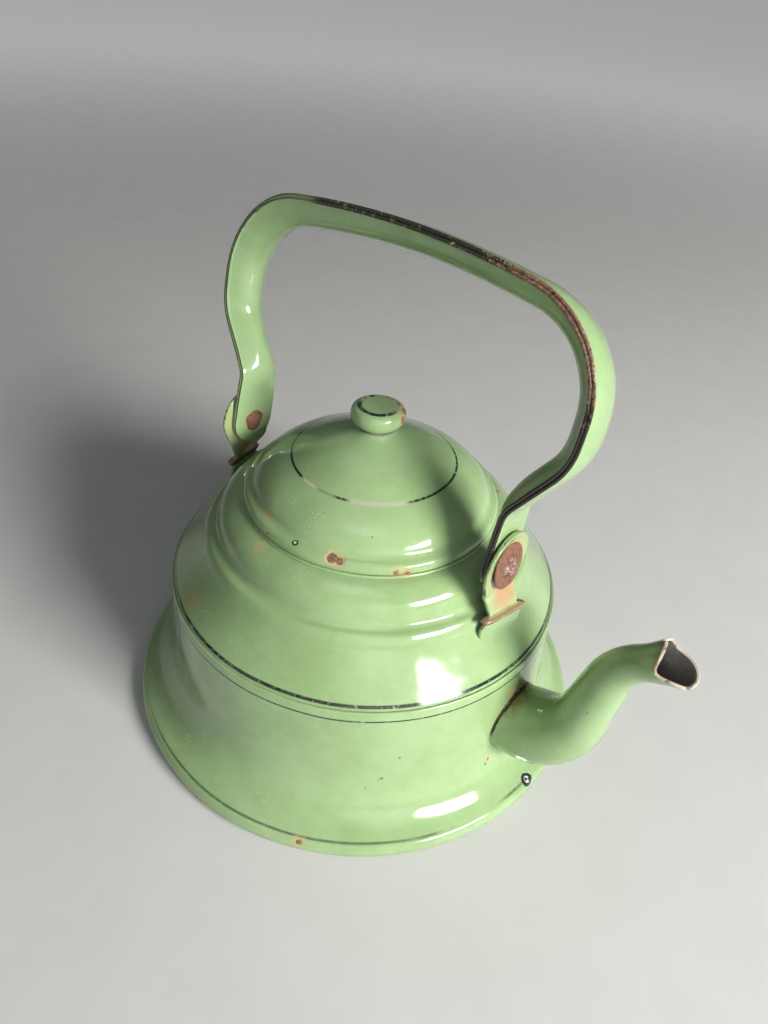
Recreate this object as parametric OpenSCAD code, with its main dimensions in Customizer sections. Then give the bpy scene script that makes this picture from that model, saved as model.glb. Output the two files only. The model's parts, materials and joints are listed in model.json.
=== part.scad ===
// Enamelled stove-top kettle: stepped round body, swan-neck spout, lift-off lid
// and a hollow bail handle that swings on two riveted ears.
// Millimetres. Origin: centre of the foot circle, on the ground.
// +X points to the spout, +Z up. The handle's pivots lie along X.

/* [Body] */
// radius of the wall's top edge
wall_r = 81.5; // [79:0.5:84]
// height of the wall's top edge
wall_h = 65.8; // [63:0.2:69]
// radius of the rolled bead at the foot
foot_r = 99.4; // [97:0.2:103]
// radius of the filler opening
neck_r = 45.9; // [43:0.1:47]
// height of the seat that the lid's rim rests on
seat_h = 101.8; // [100:0.2:104]
// sheet thickness, enamel included
sheet = 1.2; // [0.8:0.1:1.6]

/* [Lid] */
// radius of the lid's rolled rim
lid_r = 50.6; // [49:0.1:53]
// height of the lid's rim to the top of the knob
lid_h = 40.4; // [36:0.2:44]
// radius of the knob
knob_r = 10.5; // [9:0.1:13]
// depth of the locating collar below the lid's rim
collar_depth = 9; // [6:0.5:12]

/* [Spout] */
// height of the spout's root on the wall
root_h = 34.5; // [33:0.5:37]
// outer radius of the spout at its belly
belly_r = 14.6; // [13:0.2:16]
// outer radius of the spout at its neck, below the flared mouth
tip_r = 6.6; // [6:0.2:8]
// length of the straight rise between the two bends
rise = 24; // [20:0.5:28]
// how far the lower lip reaches past the upper one
lip = 7.5; // [3:0.5:12]

/* [Handle] */
// height of the pivots
pivot_h = 110; // [108:0.5:113]
// distance of the handle's middle line from the body's middle at the pivots
pivot_x = 64.3; // [64:0.1:65]
// how far the hand-set ears stand off the body's middle plane
pivot_y = -6; // [-8:0.5:0]
// lean of the handle at rest, away from upright
lean = 12; // [0:1:20]
// width of the handle strip between its tabs
strip_w = 17.8; // [16:0.2:20]
// total thickness of the hollow handle in the middle of its width
crown = 9; // [6:0.2:10]
// twist of the handle's top, bent by use
twist = 14; // [0:1:15]
// radius of the pivot rivets
rivet_r = 3; // [2.5:0.1:3.5]

/* [Hidden] */
$fn = 96;

enamel = [0.56, 0.74, 0.46];
rust = [0.42, 0.26, 0.20];
turn_fn = 180;          // facets of the big round shells
lap = 6;                // overlap of shoulder and wall at the seam
hole_gap = 0.06;        // radial running clearance of the handle on its rivets
ear_t = 1.5;            // thickness of the ear plate
ear_head_r = 13;        // radius of the ear's round head
ear_neck_w = 15;        // width of the ear's neck
ear_foot_w = 20;        // width of the ear's foot
strip_t = 1.3;          // thickness of one handle strip
tab_w = 20;             // width of the handle's flat tabs
washer_r = 9;           // outer radius of the washers
washer_t = 1.2;         // thickness of the washers
play = 0.15;            // end play of the handle tab between ear and rivet head

skirt_r = wall_r - sheet;
lid_z = seat_h + 0.1;

// ---------- curves ----------

// point at fraction t of a smooth curve between b and c, with neighbours a and d
function blend(a, b, c, d, t) =
    0.5 * (2 * b
           + (c - a) * t
           + (2 * a - 5 * b + 4 * c - d) * t * t
           + (3 * b - a - 3 * c + d) * t * t * t);

// smooth curve through the points, n steps for each stretch
function curve(p, n) = concat(
    [for (i = [0 : len(p) - 2])
        for (k = [0 : n - 1])
            blend(p[max(i - 1, 0)], p[i], p[i + 1], p[min(i + 2, len(p) - 1)], k / n)],
    [p[len(p) - 1]]);

// unit vector to the right of the path at point i
function side(p, i) =
    let (d = p[min(i + 1, len(p) - 1)] - p[max(i - 1, 0)])
    [d[1], -d[0]] / norm(d);

// the path moved to its left by t
function inset(p, t) = [for (i = [0 : len(p) - 1]) p[i] - t * side(p, i)];

// closed outline of a sheet whose outer face follows the path
function sheet_outline(p, t) =
    let (q = inset(p, t))
    concat(p, [for (i = [len(q) - 1 : -1 : 0]) q[i]]);

// solid of revolution of a sheet
module spun_sheet(p, t) {
    rotate_extrude($fn = turn_fn)
        polygon(sheet_outline(p, t));
}

// points along an arc in a plane: starts at p with heading a0, ends with heading a1
function bend(p, a0, a1, r, n) =
    let (s = a1 > a0 ? 1 : -1, c = p + s * r * [-sin(a0), cos(a0)])
    [for (k = [1 : n]) let (a = a0 + (a1 - a0) * k / n) c + s * r * [sin(a), -cos(a)]];

// points along a straight run
function run(p, a, l, n) = [for (k = [1 : n]) p + l * k / n * [cos(a), sin(a)]];

function last(p) = p[len(p) - 1];

// closed skin through a list of equal rings of points; the first half of a ring is
// one face of the sheet, and the second half is the other face, run backwards
module skin(rings) {
    m = len(rings[0]);
    n = len(rings);
    end = (n - 1) * m;
    points = [for (ring = rings) each ring];
    sides = [for (i = [0 : n - 2])
                for (j = [0 : m - 1])
                    let (a = i * m + j, b = i * m + (j + 1) % m)
                    each [[a, b, b + m], [a, b + m, a + m]]];
    caps = [for (j = [0 : m / 2 - 2])
                let (a = j, b = j + 1, c = m - 2 - j, d = m - 1 - j)
                each [[c, b, a], [d, c, a], [end + a, end + b, end + c], [end + a, end + c, end + d]]];
    polyhedron(points = points, faces = concat(sides, caps), convexity = 6);
}

// ---------- body ----------

shoulder_curve = curve([
    [skirt_r, wall_h + 0.8],
    [skirt_r - 2.1, wall_h + 3.4],
    [skirt_r - 5.4, wall_h + 7.6],
    [skirt_r - 9.6, wall_h + 13.2],
    [skirt_r - 12.1, wall_h + 17.0],
    [skirt_r - 13.1, wall_h + 19.0],
    [skirt_r - 14.2, seat_h - 15.3],
    [skirt_r - 15.3, seat_h - 14.2],
    [skirt_r - 17.4, seat_h - 13.5],
    [skirt_r - 18.8, seat_h - 11.9],
    [skirt_r - 19.3, seat_h - 9.4],
    [skirt_r - 20.1, seat_h - 6.6],
    [skirt_r - 22.5, seat_h - 3.6],
    [neck_r + 8.1, seat_h - 0.95],
    [neck_r + 4.7, seat_h - 0.1],
    [neck_r + 1.9, seat_h - 0.14],
    [neck_r + 0.3, seat_h - 1.5],
    [neck_r, seat_h - 3.4]], 5);

module shoulder_shell() {
    color(enamel)
        spun_sheet(concat([[skirt_r, wall_h - lap]], shoulder_curve, [[neck_r, seat_h - 8]]), sheet);
}

wall_curve = curve([
    [foot_r - 5.2, 0.6],
    [foot_r - 3.0, 0.6],
    [foot_r - 0.7, 2.0],
    [foot_r, 4.4],
    [foot_r - 1.0, 7.0],
    [foot_r - 3.1, 8.5],
    [foot_r - 7.1, 11.1],
    [foot_r - 11.7, 15.8],
    [wall_r + 3.1, 22.5],
    [wall_r + 1.6, 30],
    [wall_r + 1.0, 40],
    [wall_r + 0.5, 50],
    [wall_r, 58]], 5);

wall_path = concat([[foot_r - 7.2, 1.8]], wall_curve, [[wall_r, wall_h]]);

// inside of the spout where it meets the wall
root_hole_r = belly_r - 2.6;

module wall_shell() {
    color(enamel)
        difference() {
            spun_sheet(wall_path, sheet);
            translate([wall_r - 12, 0, root_h])
                rotate([0, 90, 0])
                    cylinder(r = root_hole_r, h = 24);
        }
}

pan_r = foot_r - 7.25;      // outer radius of the base pan's upturned edge
groove_r = 40;              // radius of the stiffening groove in the pan
groove_h = 0.8;             // height of the groove

pan_curve = concat(
    [[0, 0], [groove_r - 3, 0]],
    [for (k = [1 : 7]) [groove_r - 3 + 6 * k / 8, groove_h * sin(180 * k / 8)]],
    [[groove_r + 3, 0], [pan_r - 6, 0]],
    curve([[pan_r - 2.4, 0.1], [pan_r - 0.7, 0.9], [pan_r, 2.6]], 4),
    [[pan_r, 6.5]]);

module base_pan() {
    color(enamel)
        spun_sheet(pan_curve, sheet);
}

// ---------- spout ----------

// middle line of the spout in the XZ plane, and the heading at each of its points
root_x = wall_r - 5;        // start of the middle line, inside the wall
root_run = 4;               // straight run out of the wall
bend_1 = 28.3;              // radius of the lower bend
bend_2 = 26;                // radius of the upper bend
rise_a = 80;                // heading of the rise
tip_a = 38;                 // heading of the tip
upper_run = 7;              // straight run up to the upper lip
bend_steps = 9;             // steps in each bend
run_steps = 4;              // steps in each straight run

root_line = run([root_x, root_h], 0, root_run, run_steps);
bend_line_1 = bend(last(root_line), 0, rise_a, bend_1, bend_steps);
rise_line = run(last(bend_line_1), rise_a, rise, run_steps);
bend_line_2 = bend(last(rise_line), rise_a, tip_a, bend_2, bend_steps);
tip_line = run(last(bend_line_2), tip_a, upper_run + lip, 2 * run_steps);
spout_mid = concat([[root_x, root_h]], root_line, bend_line_1, rise_line, bend_line_2, tip_line);

function ramp(a, b, n) = [for (k = [1 : n]) a + (b - a) * k / n];
spout_heading = concat([0],
                       ramp(0, 0, run_steps),
                       ramp(0, rise_a, bend_steps),
                       ramp(rise_a, rise_a, run_steps),
                       ramp(rise_a, tip_a, bend_steps),
                       ramp(tip_a, tip_a, 2 * run_steps));

// outer radius along the spout: full belly, narrowing neck, flared mouth
mouth_r = tip_r + 1.8;
spout_taper = curve([
    [0, belly_r],
    [0.21, belly_r],
    [0.43, belly_r - 4.5],
    [0.60, tip_r + 1.9],
    [0.78, tip_r + 0.3],
    [0.88, tip_r],
    [1, mouth_r]], 4);

spout_n = len(spout_mid);
half_steps = 14;            // steps around half of the spout

// ring of one half of the spout at station i; hand is 1 for left, -1 for right
function spout_ring(i, hand) =
    let (a = spout_heading[i],
         p = spout_mid[i],
         ro = lookup(i / (spout_n - 1), spout_taper))
    [for (k = [0 : 2 * half_steps + 1])
        let (out = k <= half_steps,
             r = out ? ro : ro - sheet,
             w = 180 * (out ? k : 2 * half_steps + 1 - k) / half_steps,
             up = r * cos(w))
        [p[0] - up * sin(a), hand * r * sin(w), p[1] + up * cos(a)]];

// space inside the body's wall
module wall_core() {
    rotate_extrude($fn = turn_fn)
        polygon(concat([[0, 1]], [for (p = wall_path) if (p[1] > 1) p], [[0, wall_h]]));
}

// what is cut away above the pouring lip
module lip_cut() {
    tip = last(bend_line_2);
    reach = 40;
    notch_z = 0.2 * tip_r;      // height over the middle line where the slanted cut starts
    translate([tip[0], 0, tip[1]])
        rotate([0, -tip_a, 0])
            translate([upper_run, 0, notch_z])
                intersection() {
                    translate([0, -reach, -reach])
                        cube(2 * reach);
                    rotate([0, -atan2(lip, mouth_r + notch_z), 0])
                        translate([0, -reach, -reach])
                            cube(2 * reach);
                }
}

module spout_half(hand) {
    order = hand > 0 ? [0 : spout_n - 1] : [spout_n - 1 : -1 : 0];
    color(enamel)
        difference() {
            skin([for (i = order) spout_ring(i, hand)]);
            wall_core();
            lip_cut();
        }
}

module spout_left_half() {
    spout_half(1);
}

module spout_right_half() {
    spout_half(-1);
}

// ---------- ears, rivets and washers ----------

tab_t = 2 * strip_t;                        // the two strips lie flat on each other at the tab
ear_in_x = pivot_x + tab_t / 2 + play;      // inner face of the ear
ear_out_x = ear_in_x + ear_t;
ear_slant_z = pivot_h - washer_r - 1.5;     // below it the plate slants out to the fold
ear_fold_z = seat_h - 13.2;                 // height of the fold
ear_step = 3.6;                             // how far the fold stands out from the head
foot_low_z = wall_h + 13.4;                 // height of the foot's lower end
foot_in_x = ear_in_x + ear_step;
fold_bead_r = 1.3;                          // radius of the bead along the fold

// inner face of the plate from the side: straight head, slant, and a foot on the shoulder
ear_side = concat(
    [[ear_in_x, pivot_h + ear_head_r], [ear_in_x, ear_slant_z], [foot_in_x, ear_fold_z + 1.5],
     [foot_in_x, ear_fold_z - 1.5]],
    [for (i = [len(shoulder_curve) - 1 : -1 : 0])
        let (p = shoulder_curve[i])
        if (p[1] > foot_low_z && p[1] < ear_fold_z - 2) [max(p[0] - 0.4, foot_in_x), p[1]]]);

// the plate from the front: round head, neck and wider foot
module ear_front_outline() {
    translate([0, pivot_h])
        circle(r = ear_head_r);
    translate([-ear_neck_w / 2, ear_fold_z])
        square([ear_neck_w, pivot_h - ear_fold_z]);
    translate([-ear_foot_w / 2, foot_low_z])
        square([ear_foot_w, ear_fold_z - foot_low_z]);
}

// space taken up by the shoulder
module shoulder_core() {
    rotate_extrude($fn = turn_fn)
        polygon(concat([[0, wall_h]], [[skirt_r, wall_h]], shoulder_curve, [[0, seat_h - 3.4]]));
}

module ear_plate() {
    reach = 40;
    intersection() {
        translate([0, pivot_y, 0])
            rotate([90, 0, 0])
                linear_extrude(reach, center = true)
                    polygon(concat(ear_side,
                                   [for (i = [len(ear_side) - 1 : -1 : 0]) ear_side[i] + [ear_t, 0]]));
        translate([ear_in_x - 1, pivot_y, 0])
            rotate([90, 0, 90])
                linear_extrude(reach)
                    ear_front_outline();
    }
}

module ear() {
    color(enamel)
        difference() {
            union() {
                ear_plate();
                translate([foot_in_x + ear_t - 0.3, pivot_y, ear_fold_z])
                    rotate([90, 0, 0])
                        cylinder(r = fold_bead_r, h = ear_foot_w, center = true, $fn = 32);
            }
            shoulder_core();
            translate([ear_in_x - 1, pivot_y, pivot_h])
                rotate([0, 90, 0])
                    cylinder(r = rivet_r, h = ear_t + 2);
        }
}

// the same piece on the rear side, still at pivot_y
module to_rear() {
    mirror([1, 0, 0])
        children();
}

module front_ear() {
    ear();
}

module rear_ear() {
    to_rear()
        ear();
}

head_r = 5;             // radius of the rivet's head
head_h = 1.8;           // height of the rivet's head
peen_r = 4.4;           // radius of the hammered end
peen_h = 2;             // height of the hammered end

// low dome of radius r and height h standing on z = 0
module low_dome(r, h) {
    ball = (r * r + h * h) / (2 * h);
    rotate_extrude()
        polygon(concat([[0, 0]],
                       [for (k = [0 : 8])
                           let (a = asin(r / ball) * (1 - k / 8))
                           [ball * sin(a), ball * cos(a) - ball + h]]));
}

module rivet() {
    head_x = pivot_x - tab_t / 2 - play;
    peen_x = ear_out_x + washer_t;
    color(rust) {
        translate([head_x, pivot_y, pivot_h])
            rotate([0, -90, 0])
                low_dome(head_r, head_h);
        translate([head_x - 0.01, pivot_y, pivot_h])
            rotate([0, 90, 0])
                cylinder(r = rivet_r, h = peen_x - head_x + 0.02);
        translate([peen_x, pivot_y, pivot_h])
            rotate([0, 90, 0])
                low_dome(peen_r, peen_h);
    }
}

module washer() {
    color(rust)
        translate([ear_out_x, pivot_y, pivot_h])
            rotate([0, 90, 0])
                difference() {
                    cylinder(r = washer_r, h = washer_t);
                    translate([0, 0, -1])
                        cylinder(r = rivet_r, h = washer_t + 2);
                }
}

module front_rivet() {
    rivet();
}

module rear_rivet() {
    to_rear()
        rivet();
}

module front_washer() {
    washer();
}

module rear_washer() {
    to_rear()
        washer();
}

// ---------- handle ----------

// middle line of the front half of the handle above its pivot, in the XZ plane, upright
waist_a = 56;               // heading where the handle runs outwards above the tab
top_a = 172;                // heading at the start of the top
waist_r1 = 10.5;            // radius of the bend above the tab
waist_r2 = 25;              // radius of the bend back to upright
corner_r = 35.5;            // radius of the top corner
tab_line = run([pivot_x, 0], 90, 18.5, 5);
waist_line_1 = bend(last(tab_line), 90, waist_a, waist_r1, 5);
waist_line_2 = run(last(waist_line_1), waist_a, 18, 4);
waist_line_3 = bend(last(waist_line_2), waist_a, 90, waist_r2, 6);
side_line = run(last(waist_line_3), 90, 6, 2);
corner_line = bend(last(side_line), 90, top_a, corner_r, 10);
top_r = last(corner_line)[0] / sin(180 - top_a);
top_line = bend(last(corner_line), top_a, 180, top_r, 6);

half_mid = concat([[pivot_x, 0]], tab_line, waist_line_1, waist_line_2, waist_line_3, side_line,
                  corner_line, top_line);
half_heading = concat([90], ramp(90, 90, 5), ramp(90, waist_a, 5), ramp(waist_a, waist_a, 4),
                      ramp(waist_a, 90, 6), ramp(90, 90, 2), ramp(90, top_a, 10), ramp(top_a, 180, 6));
half_n = len(half_mid);
bail_n = 2 * half_n - 1;

// middle line and heading of the whole handle; its rear half mirrors its front half
function bail_mid(i) =
    let (j = bail_n - 1 - i)
    i < half_n ? half_mid[i] : [-half_mid[j][0], half_mid[j][1]];
function bail_heading(i) =
    i < half_n ? half_heading[i] : 360 - half_heading[bail_n - 1 - i];

head_clear = 7;             // height over the pivot where the inner strip starts to bulge
ear_clear = ear_head_r + 1.5;   // height over the pivot where the outer strip starts to bulge
crown_full = 32;            // height over the pivot where the handle has its full section

// 0 at height low over the pivots, 1 from crown_full upwards, smooth between
function growth(i, low) =
    let (u = max(0, min(1, (bail_mid(i)[1] - low) / (crown_full - low))))
    u * u * (3 - 2 * u);

// the outer strip is nearly flat and the inner strip is the round one
outer_share = 0.15;
function bulge(i, out) =
    (crown - 2 * strip_t)
    * (out > 0 ? outer_share * growth(i, ear_clear)
               : (1 - outer_share) * growth(i, head_clear));

// length of the handle's middle line from its front end to each station
function bail_step(i) = i < bail_n ? norm(bail_mid(i) - bail_mid(i - 1)) : 0;
bail_run = [for (i = 0, s = 0; i < bail_n; i = i + 1, s = s + bail_step(i)) s];
bail_half = bail_run[bail_n - 1] / 2;

// share of the twist against the distance from the middle of the top, front leg first
twist_curve = curve([
    [-105, 0],
    [-75, 0.45],
    [-45, 0.93],
    [0, 1],
    [45, 1.55],
    [72, 1.75],
    [98, 0.9],
    [130, 0]], 4);
function twist_at(i) = twist * lookup(bail_run[i] - bail_half, twist_curve);

cross_steps = 8;            // steps across the strip

// ring of one strip at station i; out is 1 for the outer strip, -1 for the inner one.
// The section is turned by the twist about its edge on the -Y side.
function strip_ring(i, out) =
    let (p = bail_mid(i),
         a = bail_heading(i),
         t = twist_at(i),
         c = bulge(i, out),
         w = tab_w + (strip_w - tab_w) * growth(i, head_clear))
    [for (k = [0 : 2 * cross_steps + 1])
        let (far = k <= cross_steps,
             v = (far ? k : 2 * cross_steps + 1 - k) / cross_steps * 2 - 1,
             across = (v + 1) * w / 2,
             high = out * (c * (1 - v * v) + (far ? strip_t : 0)),
             h = high * cos(t) - across * sin(t))
        [p[0] + h * sin(a), across * cos(t) + high * sin(t) - w / 2, p[1] - h * cos(a)]];

// where the bail stands at rest: leaning on its pivots
module on_pivots() {
    translate([0, pivot_y, pivot_h])
        rotate([-lean, 0, 0])
            children();
}

module strip(out) {
    order = out < 0 ? [0 : bail_n - 1] : [bail_n - 1 : -1 : 0];
    color(enamel)
        on_pivots()
            difference() {
                union() {
                    skin([for (i = order) strip_ring(i, out)]);
                    for (hand = [1, -1])
                        translate([hand * (pivot_x + out * strip_t / 2), 0, 0])
                            rotate([0, 90, 0])
                                cylinder(r = tab_w / 2, h = strip_t, center = true);
                }
                rotate([0, 90, 0])
                    cylinder(r = rivet_r + hole_gap, h = 3 * pivot_x, center = true);
            }
}

module handle_outer_shell() {
    strip(1);
}

module handle_inner_shell() {
    strip(-1);
}

// ---------- lid ----------

lid_neck_h = 32.4;          // height of the lid's drawn neck over its rim
knob_z = lid_z + lid_neck_h;
knob_neck_r = 6.6;          // radius of the lid's drawn neck

lid_curve = curve([
    [lid_r - 0.9, lid_z],
    [lid_r + 0.1, lid_z + 1.4],
    [lid_r, lid_z + 3.4],
    [lid_r - 1.0, lid_z + 4.8],
    [lid_r - 2.7, lid_z + 5.7],
    [lid_r - 3.9, lid_z + 6.8],
    [lid_r - 5.2, lid_z + 9.0],
    [lid_r - 8.0, lid_z + 12.1],
    [lid_r - 12.6, lid_z + 15.3],
    [lid_r - 18.5, lid_z + 18.4],
    [25, lid_z + 22.3],
    [18, lid_z + 25.6],
    [12, lid_z + 28.2],
    [8.6, lid_z + 29.8],
    [knob_neck_r + 0.3, lid_z + 31.3],
    [knob_neck_r, knob_z]], 4);

module lid_shell() {
    color(enamel)
        spun_sheet(lid_curve, sheet);
}

collar_t = 1;
collar_r = neck_r - 0.6;    // slides into the filler neck
collar_top = lid_z + 6.8;   // welded inside the lid's dome

module lid_collar() {
    color(enamel)
        translate([0, 0, lid_z - collar_depth])
            difference() {
                cylinder(r = collar_r, h = collar_top - lid_z + collar_depth, $fn = turn_fn);
                translate([0, 0, -1])
                    cylinder(r = collar_r - collar_t, h = 40, $fn = turn_fn);
            }
}

knob_h = lid_h - lid_neck_h;
knob_curve = curve([
    [knob_neck_r, knob_z],
    [knob_r - 2, knob_z + 0.10 * knob_h],
    [knob_r - 0.4, knob_z + 0.32 * knob_h],
    [knob_r, knob_z + 0.60 * knob_h],
    [knob_r - 0.7, knob_z + 0.85 * knob_h],
    [knob_r - 2.4, knob_z + 0.98 * knob_h],
    [knob_r - 4, knob_z + knob_h],
    [0, knob_z + knob_h]], 4);

module lid_knob() {
    color(enamel)
        spun_sheet(knob_curve, 1);
}

// ---------- choice of node ----------

shoulder_shell();
wall_shell();
base_pan();
spout_left_half();
spout_right_half();
front_ear();
rear_ear();
front_rivet();
rear_rivet();
front_washer();
rear_washer();
handle_outer_shell();
handle_inner_shell();
lid_shell();
lid_collar();
lid_knob();
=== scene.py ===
import json
from math import asin, cos, degrees, exp, hypot, pi, radians, sin, sqrt

import bmesh
import bpy
import numpy as np
from mathutils import Matrix, Vector
from numpy.linalg import norm


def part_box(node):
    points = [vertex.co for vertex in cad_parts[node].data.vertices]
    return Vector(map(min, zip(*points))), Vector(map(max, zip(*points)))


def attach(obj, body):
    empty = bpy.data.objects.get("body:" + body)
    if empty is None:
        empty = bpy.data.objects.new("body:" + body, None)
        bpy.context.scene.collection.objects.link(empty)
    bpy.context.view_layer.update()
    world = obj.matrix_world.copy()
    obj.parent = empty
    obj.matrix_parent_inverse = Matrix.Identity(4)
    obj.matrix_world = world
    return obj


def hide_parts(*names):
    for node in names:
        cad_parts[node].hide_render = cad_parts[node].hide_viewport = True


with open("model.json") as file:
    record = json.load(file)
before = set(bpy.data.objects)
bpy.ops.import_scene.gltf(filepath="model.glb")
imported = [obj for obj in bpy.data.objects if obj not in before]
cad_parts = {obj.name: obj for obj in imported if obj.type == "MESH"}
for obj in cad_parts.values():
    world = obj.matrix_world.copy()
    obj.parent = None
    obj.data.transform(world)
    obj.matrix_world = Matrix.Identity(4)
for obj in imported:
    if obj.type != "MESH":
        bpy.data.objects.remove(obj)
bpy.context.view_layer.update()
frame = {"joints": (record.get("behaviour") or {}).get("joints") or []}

scene = bpy.context.scene

# Lengths are in millimetres until a mesh is made. The frame is the CAD's:
# +X to the spout, +Z up, origin in the middle of the base.
MM = 0.001
ROUND_STEPS = 240       # steps round the body and the lid
SHEET = 1.2             # sheet thickness of body, lid and spout
STRIP = 1.3             # sheet thickness of one handle strip


def corners(node):
    """Lowest and highest corner of a CAD node, in millimetres."""
    low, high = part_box(node)
    return Vector(low) / MM, Vector(high) / MM


# ---------- driving dimensions, read from the frame ----------

wall_high = corners("wall_shell")[1]
shoulder_high = corners("shoulder_shell")[1]
lid_low, lid_high = corners("lid_shell")
knob_high = corners("lid_knob")[1]
collar_low, collar_high = corners("lid_collar")
pan_high = corners("base_pan")[1]
rivet_low = corners("front_rivet")[0]
washer_low, washer_high = corners("front_washer")
swing = [j for j in frame["joints"] if j["name"] == "handle_swing"][0]
PIVOT_Y = swing["pos_m"][1] / MM
PIVOT_Z = swing["pos_m"][2] / MM
PIVOT = np.array([0, PIVOT_Y, PIVOT_Z])

FOOT_R = wall_high.x
WALL_H = wall_high.z
SKIRT_R = shoulder_high.x
WALL_R = SKIRT_R + SHEET
SEAT_H = shoulder_high.z
COLLAR_R = collar_high.x
NECK_R = COLLAR_R + 0.6
LID_Z = lid_low.z
LID_R = lid_high.x - 0.1
KNOB_Z = lid_high.z
KNOB_TOP = knob_high.z
KNOB_R = knob_high.x
FOLD_Z = SEAT_H - 13.2  # height of the ears' fold
RIVET_HEAD_H = 1.8      # height of the rivets' heads inside the handle
CAP_POINTS = 4          # points round the rounded end of a sheet


# ---------- curves and outlines ----------

def offset(x, z, *pairs):
    """Points given by their distances from x and z."""
    return [(x + dx, z + dz) for dx, dz in pairs]


def smooth(points, steps):
    """Smooth curve through the points (Catmull-Rom)."""
    p = np.array(points, float)
    t = np.arange(steps)[:, None] / steps
    out = []
    for i in range(len(p) - 1):
        a, b, c, d = p[max(i - 1, 0)], p[i], p[i + 1], p[min(i + 2, len(p) - 1)]
        out.append(0.5 * (2 * b + (c - a) * t + (2 * a - 5 * b + 4 * c - d) * t ** 2
                          + (3 * b - a - 3 * c + d) * t ** 3))
    return np.vstack(out + [p[-1:]])


def join(*parts):
    """One path from several, without repeated points."""
    path = np.vstack([np.atleast_2d(np.array(p, float)) for p in parts])
    keep = np.r_[True, norm(np.diff(path, axis=0), axis=1) > 1e-6]
    return path[keep]


def lengths(path):
    """Run from the path's start to each of its points."""
    return np.r_[0, np.cumsum(norm(np.diff(path, axis=0), axis=1))]


def look_up(x, curve):
    """Value at x of a curve of (x, value) points."""
    return np.interp(x, curve[:, 0], curve[:, 1])


def sides(path):
    """Unit vectors to the right of the path."""
    d = np.gradient(path, axis=0)
    d /= norm(d, axis=1)[:, None]
    return np.stack([d[:, 1], -d[:, 0]], 1)


def sheet_outline(path, thickness, round_start=True, round_end=True):
    """Closed outline of a sheet whose outer face follows the path, with rounded ends.
    Also returns how many of its points lie on the outer face."""
    path = path.copy()
    half = thickness / 2
    if round_start:
        path[0] += half * (path[1] - path[0]) / norm(path[1] - path[0])
    if round_end:
        path[-1] += half * (path[-2] - path[-1]) / norm(path[-2] - path[-1])
    n = sides(path)
    inner = path - thickness * n
    turn = np.linspace(0, pi, CAP_POINTS + 2)[1:-1]

    def cap(i, outward, back):
        middle = path[i] - half * n[i]
        return [middle + half * (cos(a) * back * n[i] + sin(a) * outward) for a in turn]

    rings = [path]
    if round_end:
        ahead = np.array([-n[-1][1], n[-1][0]])
        rings.append(cap(-1, ahead, 1))
    rings.append(inner[::-1])
    if round_start:
        behind = -np.array([-n[0][1], n[0][0]])
        rings.append(cap(0, behind, -1))
    return np.vstack(rings), len(path)


def bend(p, a0, a1, r, n):
    """Points along an arc that leaves p with heading a0 and ends with heading a1 (degrees)."""
    a0, a1 = radians(a0), radians(a1)
    s = 1 if a1 > a0 else -1
    c = np.array(p) + s * r * np.array([-sin(a0), cos(a0)])
    return [c + s * r * np.array([sin(a), -cos(a)]) for a in np.linspace(a0, a1, n + 1)[1:]]


def run(p, a, length, n):
    """Points along a straight run from p with heading a (degrees)."""
    d = np.array([cos(radians(a)), sin(radians(a))])
    return [np.array(p) + length * k / n * d for k in range(1, n + 1)]


def circle(steps):
    """Cosine and sine of each of the steps round a circle."""
    angles = [2 * pi * k / steps for k in range(steps)]
    return [(cos(w), sin(w)) for w in angles]


def ease(x, low, high):
    """0 below low, 1 above high, smooth between."""
    t = np.clip((np.asarray(x, float) - low) / (high - low), 0, 1)
    return t * t * (3 - 2 * t)


# ---------- meshes ----------

def volume(v, faces):
    """Signed volume of a closed mesh of quads and triangles."""
    total = 0.0
    for f in faces:
        a = v[f[0]]
        for k in range(1, len(f) - 1):
            total += np.dot(a, np.cross(v[f[k]], v[f[k + 1]]))
    return total / 6


def add_object(name, data):
    """Object with this data, linked into the scene."""
    obj = bpy.data.objects.new(name, data)
    scene.collection.objects.link(obj)
    return obj


def make(name, points, faces, body, node, materials, slots=None, sharp=60,
         floats=None):
    """Mesh object from points in millimetres; slots gives each face's material."""
    slots = slots or [0] * len(faces)
    if volume(points, faces) < 0:
        faces = [tuple(reversed(f)) for f in faces]
    mesh = bpy.data.meshes.new(name)
    mesh.from_pydata((points * MM).tolist(), [], faces)
    mesh.polygons.foreach_set("material_index", slots)
    for key, values in (floats or {}).items():
        data = mesh.attributes.new(key, "FLOAT", "POINT").data
        data.foreach_set("value", np.asarray(values, np.float32))
    work = bmesh.new()
    work.from_mesh(mesh)
    bmesh.ops.remove_doubles(work, verts=work.verts, dist=1e-7)
    work.to_mesh(mesh)
    work.free()
    mesh.polygons.foreach_set("use_smooth", [True] * len(mesh.polygons))
    mesh.set_sharp_from_angle(angle=radians(sharp))
    for m in materials:
        mesh.materials.append(m)
    obj = add_object(name, mesh)
    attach(obj, body)
    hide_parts(node)
    return obj


def grid_faces(n, m, wrap_n, wrap_m):
    """Quads of an n by m grid of points, wrapped round in either direction."""
    faces = []
    for i in range(n if wrap_n else n - 1):
        a, b = i * m, (i + 1) % n * m
        for j in range(m if wrap_m else m - 1):
            k = (j + 1) % m
            faces.append((a + j, a + k, b + k, b + j))
    return faces


def skin_faces(n, m):
    """Quads of a closed skin through n rings of m points. The second half of a ring runs back
    along its first half. Also returns how many of the quads lie on the sides."""
    faces = grid_faces(n, m, False, True)
    side_count = len(faces)
    for start in (0, (n - 1) * m):
        for j in range(m // 2 - 1):
            quad = (start + j, start + j + 1, start + m - 2 - j, start + m - 1 - j)
            faces.append(quad if start else quad[::-1])
    return faces, side_count


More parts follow.
